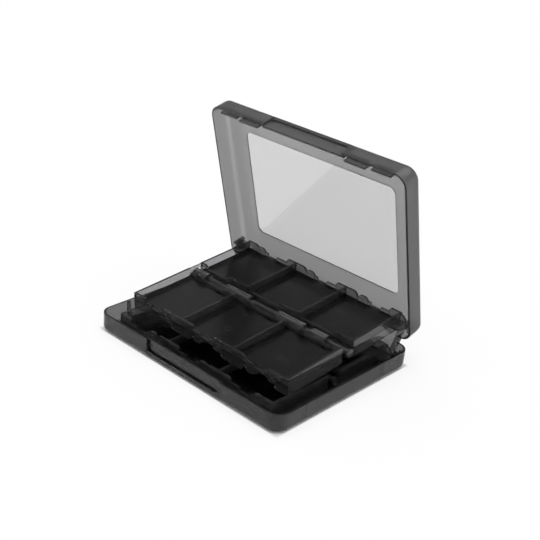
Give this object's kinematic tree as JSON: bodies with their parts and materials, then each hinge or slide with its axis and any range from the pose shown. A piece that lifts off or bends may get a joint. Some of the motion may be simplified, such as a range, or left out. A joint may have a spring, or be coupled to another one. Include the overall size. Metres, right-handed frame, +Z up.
{
  "type": "game card case",
  "caption": "Hinged smoky plastic case with a tilted spine, a clear-windowed lid and two folding two-sided card trays.",
  "frame": {"origin": "middle of the base's flat underside", "axes": "+X along the long side, +Y from the front edge with the thumb recess to the hinged rear, +Z up; stored open as pictured"},
  "size_m": [0.135, 0.1125, 0.1164],
  "materials": {
    "smoky_base": "gloss, see-through grey",
    "smoky_spine": "fine matt",
    "smoky_lid": "polished window in a fine matt frame",
    "tray_black": "fine matt"
  },
  "bodies": {
    "base": {"base_shell": "smoky_base", "lower_tray_rear": "tray_black", "lower_tray_front": "tray_black"},
    "spine": {"spine_panel": "smoky_spine"},
    "lid": {"lid_shell": "smoky_lid"},
    "upper_tray": {"upper_tray_rear": "tray_black", "upper_tray_front": "tray_black"}
  },
  "joints": [
    {"name": "spine_fold", "type": "hinge", "parent": "base", "child": "spine", "pos_m": [0, 0.05015, 0.002], "axis": [1, 0, 0], "range_deg": [0, 29]},
    {"name": "lid_fold", "type": "hinge", "parent": "spine", "child": "lid", "pos_m": [0, 0.05902, 0.01801], "axis": [1, 0, 0], "range_deg": [0, 46.4]},
    {"name": "upper_tray_swing", "type": "hinge", "parent": "lid", "child": "upper_tray", "pos_m": [0, 0.05342, 0.02264], "axis": [1, 0, 0], "range_deg": [-79.7, 0]}
  ],
  "couplings": [
    {"joint": "spine_fold", "follows": "upper_tray_swing", "ratio": -0.36386},
    {"joint": "lid_fold", "follows": "upper_tray_swing", "ratio": -0.58218}
  ]
}
